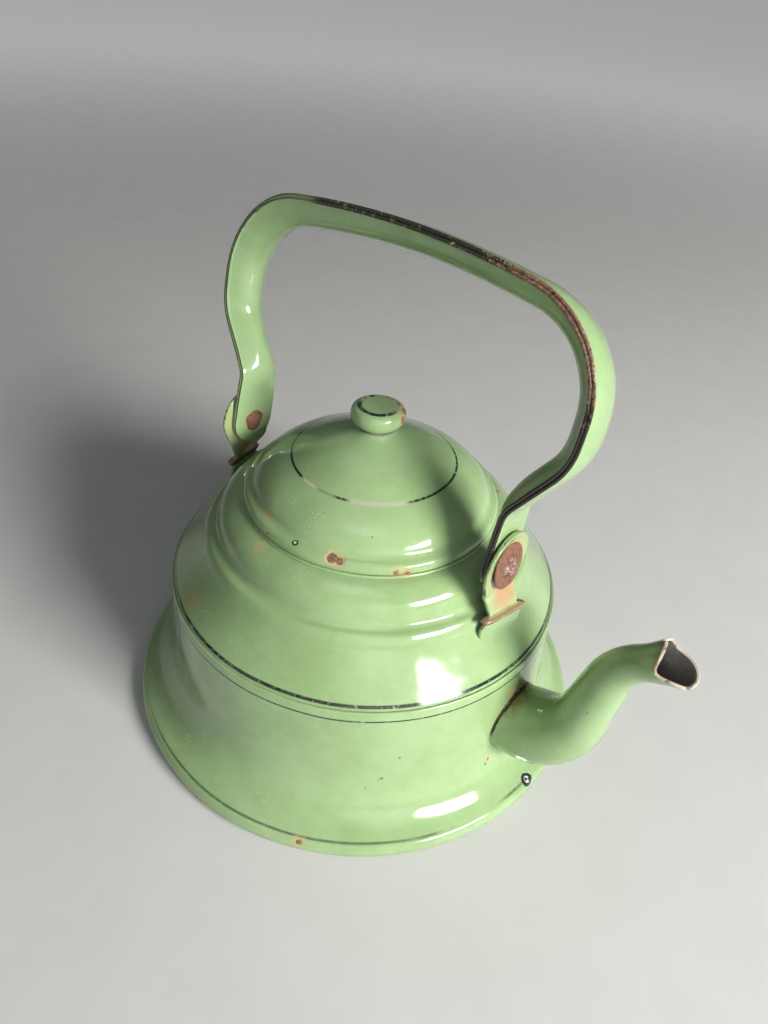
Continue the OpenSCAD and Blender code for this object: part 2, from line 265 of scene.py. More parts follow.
def out_of_round(points):
    """Small dents and unevenness of a pressed shell; none near the spout and the ears."""
    x, y, z = points.T
    angle = np.arctan2(y, x)
    waves = (0.16 * (1 + np.sin(3 * angle + z / 37 + 0.8))
             + 0.10 * (1 + np.sin(7 * angle - z / 16 + 2.1))
             + 0.05 * (1 + np.sin(13 * angle + z / 9 + 4.0)))
    inward = waves * np.sin(angle) ** 2 * ease(np.hypot(x, y), 20, 45)
    radius = np.hypot(x, y)
    scale = np.where(radius > 1e-6, (radius - inward) / np.maximum(radius, 1e-6), 1)
    return np.stack([x * scale, y * scale, z], 1)


def spin(name, sheet, body, node, materials, steps=ROUND_STEPS, uneven=True):
    """Solid of revolution of a sheet's outline. The outer face takes material 0, the rest 1."""
    outline, outer_count = sheet
    m = len(outline)
    angles = np.arange(steps) / steps * 2 * pi
    r, z = outline[:, 0], outline[:, 1]
    points = np.stack([np.outer(np.cos(angles), r), np.outer(np.sin(angles), r),
                       np.tile(z, (steps, 1))], 2).reshape(-1, 3)
    if uneven:
        points = out_of_round(points)
    on_axis = np.abs(r) < 1e-6
    faces, slots = [], []
    for f in grid_faces(steps, m, True, True):
        j, k = f[0] % m, f[1] % m
        if on_axis[j] and on_axis[k]:
            continue
        faces.append(f)
        outer = j < outer_count + CAP_POINTS or j >= m - CAP_POINTS - 1
        slots.append(0 if outer or len(materials) == 1 else 1)
    return make(name, points, faces, body, node, materials, slots)


# ---------- node materials ----------

class Tree:
    """A node tree that is put together one node at a time."""

    def __init__(self, tree):
        self.tree = tree

    def put(self, socket, value, one=()):
        """Set or link an input; one is what completes a colour."""
        if isinstance(value, bpy.types.NodeSocket):
            self.tree.links.new(value, socket)
        else:
            socket.default_value = (*value, *one) if one else value

    def add(self, kind, inputs=None, **settings):
        node = self.tree.nodes.new(kind)
        for key, value in settings.items():
            setattr(node, key, value)
        for key, value in (inputs or {}).items():
            if value is not None:
                self.put(node.inputs[key], value)
        return node

    def math(self, operation, a, b=0.0):
        return self.add("ShaderNodeMath", {0: a, 1: b}, operation=operation).outputs[0]

    def plus(self, a, b):
        return self.math("ADD", a, b)

    def minus(self, a, b):
        return self.math("SUBTRACT", a, b)

    def times(self, a, b):
        return self.math("MULTIPLY", a, b)

    def step(self, value, low, high, start=0.0, end=1.0):
        """From start below low to end above high, smooth between."""
        node = self.add("ShaderNodeMapRange", {
            "Value": value, "From Min": low, "From Max": high, "To Min": start, "To Max": end},
            interpolation_type="SMOOTHSTEP")
        return node.outputs[0]

    def fall(self, value, low, high):
        """1 below low, 0 above high, smooth between."""
        return self.step(value, low, high, 1.0, 0.0)

    def chain(self, operation, values):
        """One value from several, with the same operation again and again."""
        out = values[0]
        for v in values[1:]:
            out = self.math(operation, out, v)
        return out

    def both(self, *factors):
        return self.chain("MULTIPLY", factors)

    def either(self, *factors):
        return self.chain("MAXIMUM", factors)

    def camera_ray(self):
        return self.add("ShaderNodeLightPath").outputs["Is Camera Ray"]


class Shader(Tree):
    """A node material. Positions are in millimetres."""

    def __init__(self, name):
        self.material = bpy.data.materials.new(name)
        self.material.use_nodes = True
        super().__init__(self.material.node_tree)
        self.tree.nodes.clear()
        self.output = self.tree.nodes.new("ShaderNodeOutputMaterial")
        local = self.tree.nodes.new("ShaderNodeTexCoord").outputs["Object"]
        self.place = self.vector("SCALE", local, scale=1 / MM)
        self.x, self.y, self.z = self.add("ShaderNodeSeparateXYZ", {0: self.place}).outputs
        self.degrees = self.times(self.math("ARCTAN2", self.y, self.x), 180 / pi)
        squares = [self.times(v, v) for v in (self.x, self.y)]
        self.radius = self.math("SQRT", self.plus(*squares))

    def vector(self, operation, a, b=None, scale=None):
        inputs = {0: a, 1: b, "Scale": scale}
        node = self.add("ShaderNodeVectorMath", inputs, operation=operation)
        return node.outputs["Value"] if operation == "DISTANCE" else node.outputs[0]

    def attribute(self, name):
        return self.add("ShaderNodeAttribute", attribute_name=name).outputs["Fac"]

    def noise(self, size, detail=3.0, rough=0.5, at=None, colour=False, warp=0.0):
        """Noise whose features are about size millimetres."""
        node = self.add("ShaderNodeTexNoise", {
            "Vector": at or self.place, "Scale": 1 / size, "Detail": detail, "Roughness": rough,
            "Distortion": warp})
        return node.outputs["Color" if colour else "Fac"]

    def patches(self, low, high, *look, **more):
        """Soft-edged patches where the noise of this look is above low."""
        return self.step(self.noise(*look, **more), low, high)

    def shake(self, amount, *look):
        """Noise around 0 that is amount high."""
        return self.times(self.minus(self.noise(*look), 0.5), amount)

    def mix(self, factor, a, b):
        """Mix of two colours."""
        node = self.add("ShaderNodeMix", data_type="RGBA")
        self.put(node.inputs[0], factor)
        self.put(node.inputs[6], a, (1.0,))
        self.put(node.inputs[7], b, (1.0,))
        return node.outputs[2]

    def blend(self, factor, a, b):
        """Mix of two numbers."""
        return self.add("ShaderNodeMix", {0: factor, 2: a, 3: b}, data_type="FLOAT").outputs[0]

    def warped(self, size, amount):
        """Positions shaken by noise, for ragged edges."""
        shake = self.vector("SUBTRACT", self.noise(size, 4, 0.6, colour=True), (0.5, 0.5, 0.5))
        return self.vector("ADD", self.place, self.vector("SCALE", shake, scale=amount))

    def nearest(self, spots, at):
        """Distance to the nearest spot, as a share of that spot's radius."""
        shares = [self.math("DIVIDE", self.vector("DISTANCE", at, place), radius)
                  for place, radius in spots]
        return self.chain("MINIMUM", shares)

    def band(self, value, middle, half, soft):
        """1 within half of the middle, fading over soft."""
        off = self.math("ABSOLUTE", self.minus(value, middle))
        return self.fall(off, half - soft, half + soft)

    def invert(self, factor):
        return self.minus(1.0, factor)

    def bump(self, height, strength, distance_mm, normal=None):
        return self.add("ShaderNodeBump", {
            "Height": height, "Strength": strength, "Distance": distance_mm * MM,
            "Normal": normal}).outputs[0]

    def finish(self, colour, roughness, normal=None, **more):
        inputs = {"Base Color": colour, "Roughness": roughness, "Normal": normal}
        inputs.update({k.replace("_", " "): v for k, v in more.items()})
        shader = self.add("ShaderNodeBsdfPrincipled", inputs)
        self.tree.links.new(shader.outputs[0], self.output.inputs[0])
        return self.material


# ---------- looks ----------

GREEN_DEEP = (0.240, 0.355, 0.155)
GREEN_PALE = (0.300, 0.430, 0.215)
BLACK_PAINT = (0.018, 0.022, 0.020)
RUST_DARK = (0.100, 0.048, 0.030)
RUST_BRIGHT = (0.310, 0.165, 0.095)
RUST_STAIN = (0.440, 0.370, 0.170)
GROUND_COAT = (0.020, 0.022, 0.026)
WHITE_CHIP = (0.620, 0.600, 0.520)
TAN_RING = (0.500, 0.360, 0.220)  # bare ground coat round a rust chip
PALE_GRAIN = (0.440, 0.360, 0.250)  # enamel crumbs left in the rust


def spots(*places):
    """Spots given by azimuth (degrees), radius, height and their own radius (mm)."""
    out = []
    for azimuth, radius, height, size in places:
        a = radians(azimuth)
        out.append(((radius * cos(a), radius * sin(a), height), size))
    return out


def enamel(name, rust_chips=(), black_chips=(), scuffs=(), stains=(), paint=None, rim=None):
    """Glossy green enamel with wear. paint(shader) gives (factor, colour) layers of painted
    lines; rim(shader) gives a factor of worn, rusty edge."""
    s = Shader(name)
    cloud = s.noise(38, 3, 0.55)
    streak = s.noise(9, 4, 0.6, warp=1.5)
    shade = s.plus(s.times(cloud, 0.75), s.times(streak, 0.25))
    colour = s.mix(s.step(shade, 0.32, 0.68), GREEN_DEEP, GREEN_PALE)
    # thin milky film of old wear
    film = s.both(s.patches(0.55, 0.72, 16, 6, 0.7, warp=0.8), s.patches(0.42, 0.62, 2.2, 5, 0.7))
    colour = s.mix(s.times(film, 0.12), colour, (0.52, 0.62, 0.42))

    grime = s.both(s.patches(0.58, 0.78, 22, 5, 0.65, warp=0.6), 0.13)
    colour = s.mix(grime, colour, (0.20, 0.27, 0.10))

    ragged = s.warped(1.6, 1.5)
    wide = s.warped(7.0, 5.0)
    pits, bare = [], []         # factors of broken enamel and of bare rust
    if paint:
        for factor, ink in paint(s):
            colour = s.mix(factor, colour, ink)
    if stains:
        d = s.nearest(stains, wide)
        mask = s.both(s.step(d, 0.15, 1.0, 0.85, 0.0),
                      s.step(s.noise(3.5, 5, 0.65), 0.30, 0.62, 0.35, 1.0))
        colour = s.mix(mask, colour, RUST_STAIN)
    if scuffs:
        d = s.nearest(scuffs, wide)
        upright = s.vector("MULTIPLY", s.place, (1.0, 1.0, 0.16))
        scratch = s.noise(0.9, 3, 0.7, at=upright, warp=0.4)
        mask = s.both(s.fall(d, 0.3, 1.0), s.step(scratch, 0.60, 0.68))
        colour = s.mix(s.times(mask, 0.75), colour, WHITE_CHIP)
    rust_grain = s.noise(0.8, 6, 0.7)
    rust = s.mix(s.step(rust_grain, 0.38, 0.64), RUST_DARK, RUST_BRIGHT)
    if rust_chips:
        d = s.nearest(rust_chips, ragged)
        ring = s.fall(d, 0.85, 1.12)
        core = s.fall(d, 0.62, 0.80)
        halo = s.step(d, 0.9, 2.3, 0.22, 0.0)
        colour = s.mix(halo, colour, RUST_STAIN)
        ground = s.mix(s.patches(0.45, 0.55, 1.5, 3), TAN_RING, RUST_STAIN)
        colour = s.mix(ring, colour, ground)
        colour = s.mix(core, colour, rust)
        pits.append(ring)
        bare.append(core)
    if black_chips:
        d = s.nearest(black_chips, ragged)
        ring = s.fall(d, 0.86, 1.1)
        core = s.fall(d, 0.42, 0.58)
        colour = s.mix(ring, colour, GROUND_COAT)
        colour = s.mix(s.both(core, s.patches(0.42, 0.58, 1.1, 4)), colour, WHITE_CHIP)
        pits.append(ring)
    # sparse pinholes
    cells = s.add("ShaderNodeTexVoronoi", {"Vector": s.place, "Scale": 1 / 9.0, "Randomness": 1.0})
    chance = s.add("ShaderNodeSeparateColor", {0: cells.outputs["Color"]}).outputs[0]
    pin = s.both(s.fall(cells.outputs["Distance"], 0.022, 0.034), s.step(chance, 0.80, 0.81))
    colour = s.mix(s.times(pin, 0.85), colour, (0.06, 0.045, 0.03))
    if rim:
        worn = rim(s)
        pale = s.both(s.patches(0.56, 0.62, 1.4, 4, 0.7), 0.75)
        colour = s.mix(worn, colour, s.mix(pale, rust, PALE_GRAIN))
        pits.append(worn)
        bare.append(worn)

    smear = s.patches(0.45, 0.75, 12, 6, 0.7, warp=0.5)
    roughness = s.plus(s.plus(0.075, s.times(smear, 0.10)), s.times(film, 0.12))
    if bare:
        roughness = s.blend(s.either(*bare), roughness, 0.78)
    wavy = s.bump(s.noise(11, 2, 0.5), 0.35, 0.30)
    normal = s.bump(s.noise(1.3, 2, 0.5), 0.10, 0.05, wavy)
    if pits:
        depth = s.either(*pits)
        pit = s.plus(s.invert(depth), s.both(depth, rust_grain, 0.5))
        normal = s.bump(pit, 0.8, 0.35, normal)
    return s.finish(colour, roughness, normal, Coat_Weight=0.25, Coat_Roughness=0.03)


def dark_enamel(name):
    """Dark grey enamel of the insides, lightly speckled."""
    s = Shader(name)
    base = s.mix(s.patches(0.35, 0.7, 14, 4, 0.6),
                 (0.090, 0.084, 0.078), (0.165, 0.150, 0.135))
    speck = s.patches(0.66, 0.72, 0.9, 2)
    colour = s.mix(s.times(speck, 0.4), base, (0.30, 0.30, 0.29))
    scale = s.both(s.patches(0.56, 0.74, 8, 6, 0.7, warp=0.8), 0.5)
    colour = s.mix(scale, colour, (0.26, 0.20, 0.14))
    roughness = s.plus(0.22, s.times(scale, 0.8))
    normal = s.bump(s.noise(1.6, 4, 0.6), 0.25, 0.12)
    return s.finish(colour, roughness, normal)


def sooty_enamel(name):
    """Underside of the base: dark enamel, burnt and scraped on the hob."""
    s = Shader(name)
    base = s.mix(s.patches(0.35, 0.68, 20, 5, 0.65),
                 (0.030, 0.032, 0.034), (0.115, 0.120, 0.100))
    ring = s.math("SINE", s.times(s.radius, 2.2))
    scrape = s.both(s.step(ring, 0.2, 1.0), s.patches(0.5, 0.65, 5, 5, 0.7))
    colour = s.mix(s.times(scrape, 0.5), base, (0.22, 0.21, 0.20))
    rust = s.patches(0.60, 0.68, 6, 6, 0.75, warp=0.6)
    colour = s.mix(rust, colour, s.mix(s.patches(0.4, 0.6, 1, 5), RUST_DARK, RUST_BRIGHT))
    roughness = s.blend(rust, s.plus(0.38, s.times(scrape, 0.2)), 0.85)
    normal = s.bump(s.noise(1.2, 5, 0.7), 0.4, 0.2)
    return s.finish(colour, roughness, normal)


def rusty_steel(name):
    """Bare steel, brown with rust and rubbed shiny on its high places."""
    s = Shader(name)
    grain = s.noise(1.1, 7, 0.72)
    patch = s.noise(3.6, 4, 0.6, warp=0.7)
    colour = s.mix(s.step(grain, 0.34, 0.66), (0.085, 0.036, 0.022), (0.235, 0.105, 0.062))
    colour = s.mix(s.step(patch, 0.45, 0.70, 0.0, 0.7), colour, (0.175, 0.082, 0.058))
    bright = s.attribute("rubbed")
    shiny = s.both(bright, s.patches(0.46, 0.60, 1.5, 5, 0.7))
    colour = s.mix(shiny, colour, (0.36, 0.30, 0.27))
    roughness = s.blend(shiny, 0.72, 0.30)
    normal = s.bump(s.plus(grain, s.times(s.noise(0.4, 4, 0.7), 0.4)), 0.55, 0.45)
    return s.finish(colour, roughness, normal, Metallic=s.times(shiny, 0.75))


# ---------- painted lines ----------

def line(s, value, middle, half, wobble=0.22, fade=None):
    """Hand-painted line where value is near the middle, with a ragged edge and thin places."""
    drift = s.shake(wobble * 2, 26, 2)
    edge = s.shake(0.5 * half, 0.9, 4, 0.7)
    moved = s.plus(s.plus(value, drift), edge)
    mask = s.band(moved, middle, half, 0.16)
    thin = s.step(s.noise(2.0, 5, 0.75), 0.34, 0.46, 0.25, 1.0)
    mask = s.both(mask, thin)
    return mask if fade is None else s.both(mask, fade)


def around(s, low, high, soft=6):
    """1 between two azimuths in degrees."""
    return s.both(s.step(s.degrees, low - soft, low + soft),
                  s.fall(s.degrees, high - soft, high + soft))


def shoulder_lines(s):
    mid_line = line(s, s.z, WALL_H + 1.45, 0.50, 0.12)
    grey = s.patches(0.40, 0.66, 7, 4, 0.6)
    worn_side = s.step(s.degrees, -125, -105, 0.55, 1.0)
    return [(s.both(mid_line, worn_side), s.mix(grey, BLACK_PAINT, (0.050, 0.065, 0.050)))]


def wall_lines(s):
    thin = line(s, s.z, WALL_H - 4.6, 0.36)
    fade = s.either(around(s, -112, -35, 10), s.patches(0.56, 0.66, 30, 3))
    foot = line(s, s.z, 8.1, 0.24, 0.05, fade)
    outside = s.step(s.radius, FOOT_R - 6, FOOT_R - 5)
    return [(thin, BLACK_PAINT), (s.both(foot, outside, 0.85), (0.06, 0.085, 0.055))]


def lid_lines(s):
    ring = line(s, s.radius, LID_R - 18.5, 0.42, 0.1)
    black = s.both(ring, s.invert(around(s, -104, -76, 3)), s.invert(around(s, -66, -27, 3)))
    cream = s.both(ring, around(s, -104, -90, 3))
    faint = s.both(ring, around(s, -90, -76, 3), 0.6)
    wide = s.both(s.band(s.radius, LID_R - 18.6, 0.85, 0.45), around(s, -66, -27, 4), 0.55)
    return [(black, BLACK_PAINT), (cream, (0.56, 0.47, 0.28)), (faint, (0.14, 0.19, 0.12)),
            (wide, (0.46, 0.42, 0.36))]


def knob_lines(s):
    ring = line(s, s.radius, 7.25, 0.85, 0.12)
    top = s.step(s.z, KNOB_TOP - 1.4, KNOB_TOP - 1.0)
    worn = s.patches(0.36, 0.44, 1.4, 4, 0.7)
    kept = s.either(around(s, -160, 5, 12), s.patches(0.54, 0.62, 5, 3, 0.6))
    return [(s.both(ring, top, worn, kept), BLACK_PAINT)]


def handle_places(s):
    """Place across and along the handle, and shares of its worn front corner and top."""
    across = s.attribute("across")
    along = s.attribute("along")
    corner = s.both(s.step(along, 22, 40), s.fall(along, 92, 104))
    top = s.both(s.step(along, -60, -44), s.fall(along, 30, 44))
    return across, along, corner, top


def handle_paint(s):
    """Black paint along the strips' edges, with light chips; green again on the rear leg."""
    across, along, corner, top = handle_places(s)
    ragged = s.shake(0.05, 1.6, 4, 0.7)
    edge = s.step(s.plus(across, ragged), 0.945, 0.962)
    start = s.plus(along, s.times(s.noise(9, 3), 20))
    painted = s.both(edge, s.step(start, -36, -26))
    seam = s.both(s.step(across, 0.9935, 0.997), 0.75)
    chips = s.both(edge, s.either(top, corner), s.patches(0.60, 0.64, 1.5, 5, 0.75, warp=0.6))
    return [(painted, BLACK_PAINT), (seam, (0.05, 0.04, 0.025)), (chips, (0.42, 0.36, 0.25))]


def handle_wear(s):
    """Rust along the edges, worst on the front corner."""
    across, along, corner, top = handle_places(s)
    rear = s.both(s.step(along, -84, -78), s.fall(along, -68, -62))
    patches = s.noise(4.5, 6, 0.75)
    share = s.either(s.times(corner, 0.22), s.times(top, 0.07), s.times(rear, 0.10))
    limit = s.minus(0.64, share)
    edge = s.step(s.plus(across, s.times(s.noise(2.2, 4, 0.7), 0.05)), 0.955, 0.985)
    return s.both(edge, s.step(s.minus(patches, limit), 0.0, 0.03))


def shaken(s, value, size, detail, amount):
    """A value made ragged by fine noise."""
    return s.plus(value, s.times(s.noise(size, detail, 0.7), amount))


def spout_wear(s):
    """Rust on the lip and along the weld at the wall."""
    lip = s.both(s.step(shaken(s, s.attribute("along"), 1.6, 5, 0.012), 1.001, 1.006),
                 s.patches(0.52, 0.60, 4, 4, 0.7))
    gap = s.minus(s.radius, WALL_R + 0.6)
    weld = s.fall(shaken(s, gap, 3.0, 5, 3.0), 2.0, 2.6)
    return s.either(lip, s.both(weld, s.patches(0.40, 0.50, 6, 4, 0.7)))


def spout_paint(s):
    """Bare white ground along the lip, brown water marks behind it, and a black crack and
    soil at the weld."""
    along = s.attribute("along")
    mark = s.both(s.step(shaken(s, along, 3.0, 5, 0.05), 0.965, 1.02), s.step(s.z, 100, 108),
                  s.patches(0.35, 0.6, 5, 4, 0.6), 0.8)
    edge = s.step(shaken(s, along, 1.2, 4, 0.008), 0.999, 1.003)
    gap = shaken(s, s.minus(s.radius, WALL_R + 1.0), 4.0, 5, 1.6)
    dark_line = s.both(s.fall(gap, 1.9, 2.4),
                   s.either(s.step(s.z, 33, 37), s.fall(s.z, 22, 24)))
    soil = s.both(s.fall(gap, 3.0, 8.0), s.step(s.z, 43, 48),
                  s.patches(0.30, 0.6, 4, 4, 0.6), 0.8)
    return [(mark, (0.22, 0.13, 0.05)), (edge, (0.50, 0.44, 0.35)), (soil, (0.15, 0.11, 0.04)),
            (dark_line, (0.020, 0.012, 0.008))]


def ear_paint(s):
    """Tan ring round the washer, rust that ran down from it, bare brown bead along the fold
    and a dark line under the bead, painted shade in its crease, ragged like a crack."""
    def pair(lift, height, radius):
        return [((side * (rivet_low.x + 4), PIVOT_Y + lift, height), radius) for side in (1, -1)]

    height = s.plus(s.z, s.shake(1.2, 2.5, 4, 0.7))
    runs = s.nearest(pair(1.5, FOLD_Z + 6.5, 10), s.warped(5.0, 3.0))
    below = s.both(s.step(runs, 0.45, 1.0, 0.85, 0.0), s.step(height, FOLD_Z - 9, FOLD_Z - 2))
    halo = s.nearest(pair(0, PIVOT_Z, 13.5), s.warped(5.0, 2.0))
    ring = s.step(halo, 0.72, 1.0, 0.65, 0.0)
    bead = s.both(s.band(height, FOLD_Z + 0.3, 1.5, 0.4), s.patches(0.26, 0.38, 3, 4, 0.6), 0.9)
    # dark line under the bead: painted shade in the crease below it, ragged like a crack
    dark_line = s.both(s.band(height, FOLD_Z - 0.2, 0.30, 0.14), s.patches(0.30, 0.38, 4, 3, 0.6))
    return [(ring, (0.42, 0.34, 0.15)), (below, (0.40, 0.215, 0.10)),
            (bead, (0.25, 0.145, 0.085)), (dark_line, (0.030, 0.018, 0.012))]


def ear_wear(s):
    """Rust on the cut edges of the ear plates."""
    return s.both(s.step(s.attribute("across"), 0.985, 0.999),
                  s.patches(0.52, 0.60, 4, 5, 0.7))


inside = dark_enamel("inside_enamel")
underside = sooty_enamel("underside_enamel")
steel = rusty_steel("rusty_steel")

shoulder_enamel = enamel(
    "shoulder_enamel",
    rust_chips=spots(
        (49, 52.6, 101.4, 1.6), (-64, 79.6, 68.6, 0.8), (4, 71.0, 81.0, 1.4),
        (176, 72.0, 79.5, 1.8), (120, 75.5, 74.0, 1.1)),
    scuffs=spots(
        (-98, 54.8, 100.5, 6), (-91, 56.1, 99.6, 5), (-76, 54.9, 100.4, 6), (-102, 76.5, 73.0, 8),
        (-88, 77.5, 71.5, 9), (150, 74, 76, 10)),
    stains=spots((-98, 55.0, 100.4, 4), (-110, 77.2, 72.1, 7), (180, 68.5, 84.0, 10)),
    paint=shoulder_lines)

wall_enamel = enamel(
    "wall_enamel",
    rust_chips=spots(
        (-61, 98.8, 6.9, 1.7), (-10.5, 85.0, 21.5, 0.9), (140, 98.6, 7.2, 1.6),
        (60, 99.0, 5.0, 1.3)),
    black_chips=spots(
        (-1.7, 97.4, 7.9, 2.9), (-42.5, 83.2, 29.4, 0.55), (-38.4, 82.5, 40.5, 0.5),
        (-46.5, 84.0, 24.5, 0.4), (-11.7, 85.5, 20.1, 0.5), (-43.4, 83.3, 28.6, 0.35)),
    scuffs=spots(
        (-72.7, 91.0, 12.3, 7), (-68.2, 96.7, 8.3, 6), (-100, 90, 14, 10), (-118, 84, 24, 12),
        (100, 92, 12, 9)),
    stains=spots(
        (-61, 98.8, 6.9, 4), (-10, 85.0, 22.0, 3), (-3, 82.0, 53.0, 5), (-118, 83.0, 36.0, 9)),
    paint=wall_lines)

lid_enamel = enamel(
    "lid_enamel",
    rust_chips=spots(
        (-65.4, 49.2, 107.2, 2.7), (-62.2, 49.6, 106.8, 2.1), (-39.2, 50.7, 104.0, 1.4),
        (-34.4, 50.7, 103.6, 1.5), (-98, 50.5, 105.0, 1.0), (48, 50.4, 105.6, 1.6),
        (150, 50.5, 104.6, 1.4)),
    black_chips=spots((-83.3, 48.8, 107.4, 1.2), (-49.3, 42.9, 114.0, 0.45)),
    scuffs=spots((-80, 42.5, 114.3, 8), (-95, 38, 117.5, 9)),
    stains=spots((-37, 50.6, 103.6, 5), (-104, 47, 109, 5)),
    paint=lid_lines)

knob_enamel = enamel(
    "knob_enamel",
    rust_chips=spots(
        (35, 9.8, KNOB_TOP - 1.6, 2.6), (12, 10.3, KNOB_TOP - 2.8, 2.0),
        (70, 9.4, KNOB_TOP - 1.2, 2.2), (130, 10.0, KNOB_TOP - 2.0, 1.5),
        (-170, 10.4, KNOB_TOP - 3.6, 1.3)),
    stains=spots((30, 10.0, KNOB_TOP - 2.5, 4)),
    paint=knob_lines)

spout_enamel = enamel(
    "spout_enamel",
    black_chips=[((92, -14.2, 46), 0.5), ((112, -9, 70), 0.4)],
    paint=spout_paint,
    rim=spout_wear)

ear_enamel = enamel("ear_enamel", paint=ear_paint, rim=ear_wear)

handle_enamel = enamel(
    "handle_enamel",
    stains=[((rivet_low.x, PIVOT_Y, PIVOT_Z), 7.5), ((-rivet_low.x, PIVOT_Y, PIVOT_Z), 8.5)],
    paint=handle_paint,
    rim=handle_wear)

# ---------- body ----------

shoulder_curve = smooth(
    offset(SKIRT_R, WALL_H, (0, 0.8), (-2.1, 3.4), (-5.4, 7.6), (-9.6, 13.2), (-12.1, 17.0),
           (-13.1, 19.0))
    + offset(SKIRT_R, SEAT_H, (-14.2, -15.3), (-15.3, -14.2), (-17.4, -13.5), (-18.8, -11.9),
             (-19.3, -9.4), (-20.1, -6.6), (-22.5, -3.6))
    + offset(NECK_R, SEAT_H, (8.1, -0.95), (4.7, -0.1), (1.9, -0.14), (0.3, -1.5), (0, -3.4)), 6)

shoulder_path = join([(SKIRT_R, WALL_H - 6)], shoulder_curve, [(NECK_R, SEAT_H - 8)])
spin("shoulder", sheet_outline(shoulder_path, SHEET), "body", "shoulder_shell",
     [shoulder_enamel, inside])

wall_path = join(
    [(FOOT_R - 7.2, 1.8)],
    smooth(offset(FOOT_R, 0, (-5.2, 0.6), (-3.0, 0.6), (-0.7, 2.0), (0, 4.4), (-1.0, 7.0),
                  (-3.1, 8.5), (-7.1, 11.1), (-11.7, 15.8))
           + offset(WALL_R, 0, (3.1, 22.5), (1.6, 30), (1.0, 40), (0.5, 50), (0, 58)), 6),
    [(WALL_R, WALL_H)])
wall = spin("wall", sheet_outline(wall_path, SHEET), "body", "wall_shell", [wall_enamel, inside])

GROOVE_R = 40           # stiffening groove in the pan
PAN_R = pan_high.x
GROOVE_HALF = 3
GROOVE_H = 0.8
groove = [(GROOVE_R + GROOVE_HALF * cos(a), GROOVE_H * sin(a))
          for a in np.radians(range(180, -1, -20))]
pan_path = join(
    [(0, 0), (12, 0), (24, 0)],
    groove,
    [(58, 0), (72, 0), (PAN_R - 6, 0)],
    smooth([(PAN_R - 2.4, 0.1), (PAN_R - 0.7, 0.9), (PAN_R, 2.6)], 5),
    [(PAN_R, pan_high.z)])
spin("base", sheet_outline(pan_path, SHEET, round_start=False), "body", "base_pan",
     [underside, inside], uneven=False)

# ---------- spout ----------

ROOT_H = 34.5           # height of the spout's root
TIP_A = 38              # heading of the tip
RISE_A = 80             # heading of the rise
BELLY_R = 14.6
TIP_R = 6.6             # at the neck below the mouth
MOUTH_R = TIP_R + 1.8   # at the flared mouth
UPPER_RUN = 7           # straight run to the upper lip
LIP = 7.5               # reach of the lower lip past the upper one
ROOT_RUN = 4            # straight run out of the wall
BEND_1 = 28.3           # radius of the lower bend
BEND_2 = 26             # radius of the upper bend
RISE = 24               # straight run between the bends
LIP_ZONE = 10           # length behind the mouth over which the rings turn into the rim
SEAM = 0.12             # height of the weld line along the spout
SPOUT_STEPS = 22        # steps round half the spout

spout_start = [(WALL_R - 5, ROOT_H)]
root_line = run(spout_start[0], 0, ROOT_RUN, 6)
bend_line_1 = bend(root_line[-1], 0, RISE_A, BEND_1, 20)
rise_line = run(bend_line_1[-1], RISE_A, RISE, 10)
bend_line_2 = bend(rise_line[-1], RISE_A, TIP_A, BEND_2, 18)
tip_line = run(bend_line_2[-1], TIP_A, UPPER_RUN, 6)
lip_line = run(tip_line[-1], TIP_A, LIP, 10)
spout_mid = join(spout_start, root_line, bend_line_1, rise_line, bend_line_2, tip_line, lip_line)
spout_run = lengths(spout_mid)
spout_taper = smooth([(0, BELLY_R), (0.21, BELLY_R), (0.43, BELLY_R - 4.5), (0.60, TIP_R + 1.9),
                      (0.78, TIP_R + 0.3), (0.88, TIP_R), (1, MOUTH_R)], 8)
cut_run = spout_run[-len(lip_line) - 1]
# reach of the mouth's rim over its notches, by the angle from the top: the upper lip
# stands forward, the notches lie on both sides and the lower lip reaches furthest
rim_curve = smooth([(0, 3.0), (25, 3.3), (50, 2.2), (72, 0.2), (84, 0.2), (96, 2.0), (108, 4.2),
                    (122, 5.8), (145, 6.9), (180, LIP - 0.4)], 6)


def spout_point(s, r, w):
    """Point at run s along the spout's middle line, r from it, at angle w from its top."""
    def middle(t):
        return np.array([np.interp(t, spout_run, spout_mid[:, k]) for k in (0, 1)])

    t = min(s, spout_run[-1])
    d = middle(t + 0.4) - middle(t - 0.4)
    d /= norm(d)
    p = middle(t) + (s - t) * d
    up = r * cos(w)
    return [p[0] - up * d[1], r * sin(w), p[1] + up * d[0]]


def lip_reach(w, hand):
    """Run at which the spout's wall ends, at angle w from its top. The left side is smoother."""
    reach = float(look_up(degrees(w), rim_curve))
    if hand > 0:
        reach = 0.45 * reach + 0.55 * (1.0 + (LIP - 1.0) * float(ease(degrees(w), 55, 175)))
    return cut_run + reach


